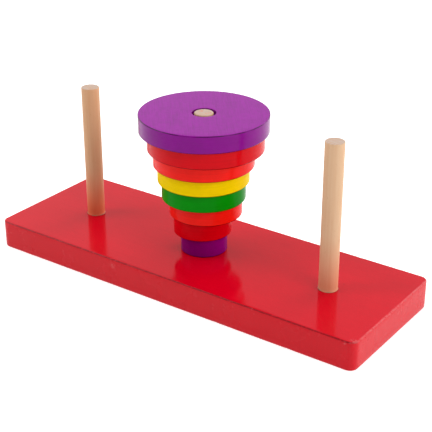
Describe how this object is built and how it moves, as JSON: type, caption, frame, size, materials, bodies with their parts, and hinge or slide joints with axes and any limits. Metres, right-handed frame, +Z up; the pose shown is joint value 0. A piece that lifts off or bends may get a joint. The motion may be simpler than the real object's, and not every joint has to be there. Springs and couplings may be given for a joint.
{
  "type": "tower puzzle with eight discs and three pegs",
  "caption": "Wooden tower puzzle: graded discs stacked on the middle of three pegs that stand in a lacquered board.",
  "frame": {"origin": "centre of the board's underside", "axes": "+X along the board's length, +Z up along the pegs, -Y towards the board's front long side"},
  "size_m": [0.23, 0.079, 0.096],
  "materials": {
    "board_lacquer": "glossy red lacquer over planed board, with faint grain and a few dust nibs",
    "peg_wood": "bare sanded dowel of pale hardwood, matt",
    "purple_paint": "satin purple paint over turned wood",
    "red_paint": "satin red paint over turned wood",
    "orange_red_paint": "satin orange-red paint over turned wood",
    "green_paint": "satin green paint over turned wood",
    "yellow_paint": "satin yellow paint over turned wood"
  },
  "bodies": {
    "base": {"base_board": "board_lacquer", "left_peg": "peg_wood", "middle_peg": "peg_wood", "right_peg": "peg_wood"},
    "disc_1": {"disc_1": "purple_paint"},
    "disc_2": {"disc_2": "red_paint"},
    "disc_3": {"disc_3": "orange_red_paint"},
    "disc_4": {"disc_4": "green_paint"},
    "disc_5": {"disc_5": "yellow_paint"},
    "disc_6": {"disc_6": "orange_red_paint"},
    "disc_7": {"disc_7": "red_paint"},
    "disc_8": {"disc_8": "purple_paint"}
  },
  "joints": [
    {"name": "disc_1_lift", "type": "slide", "parent": "base", "child": "disc_1", "axis": [0, 0, 1], "range_m": [0, 0.083]},
    {"name": "disc_2_lift", "type": "slide", "parent": "disc_1", "child": "disc_2", "axis": [0, 0, 1], "range_m": [0, 0.072]},
    {"name": "disc_3_lift", "type": "slide", "parent": "disc_2", "child": "disc_3", "axis": [0, 0, 1], "range_m": [0, 0.061]},
    {"name": "disc_4_lift", "type": "slide", "parent": "disc_3", "child": "disc_4", "axis": [0, 0, 1], "range_m": [0, 0.052]},
    {"name": "disc_5_lift", "type": "slide", "parent": "disc_4", "child": "disc_5", "axis": [0, 0, 1], "range_m": [0, 0.042]},
    {"name": "disc_6_lift", "type": "slide", "parent": "disc_5", "child": "disc_6", "axis": [0, 0, 1], "range_m": [0, 0.033]},
    {"name": "disc_7_lift", "type": "slide", "parent": "disc_6", "child": "disc_7", "axis": [0, 0, 1], "range_m": [0, 0.024]},
    {"name": "disc_8_lift", "type": "slide", "parent": "disc_7", "child": "disc_8", "axis": [0, 0, 1], "range_m": [0, 0.015]}
  ]
}
